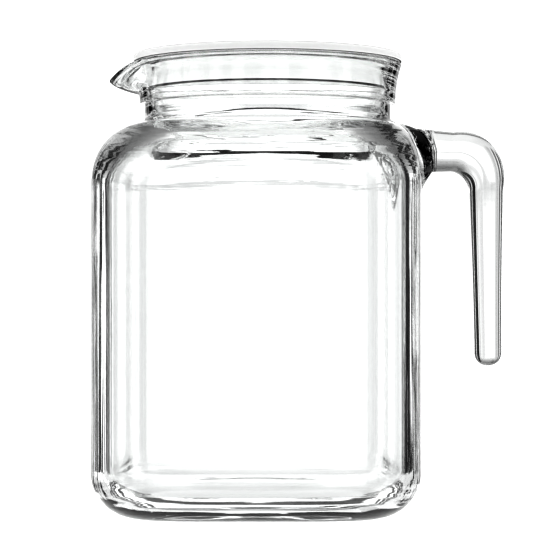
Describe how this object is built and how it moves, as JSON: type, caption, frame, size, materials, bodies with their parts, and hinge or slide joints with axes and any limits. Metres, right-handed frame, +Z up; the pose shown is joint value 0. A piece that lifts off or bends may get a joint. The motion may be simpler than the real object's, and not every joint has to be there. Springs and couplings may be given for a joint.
{
  "type": "glass pitcher with lid",
  "caption": "Square-shouldered clear glass fridge pitcher with a round flared neck, short pouring spout, open hook handle and a press-in plastic lid.",
  "frame": {"origin": "middle of the whole pitcher's length and depth, on the table it stands on", "axes": "+Z up; +X from the spout to the handle; -Y the front, as pictured"},
  "size_m": [0.171, 0.126, 0.1909],
  "materials": {
    "clear_glass": "clear, fire-polished soda-lime glass",
    "lid_plastic": "pale, slightly see-through moulded polyethylene"
  },
  "bodies": {
    "jug": {"glass_body": "clear_glass", "handle": "clear_glass"},
    "lid": {"lid": "lid_plastic"}
  },
  "joints": [
    {"name": "lid_lift", "type": "slide", "parent": "jug", "child": "lid", "axis": [0, 0, 1], "range_m": [0, 0.06]}
  ]
}
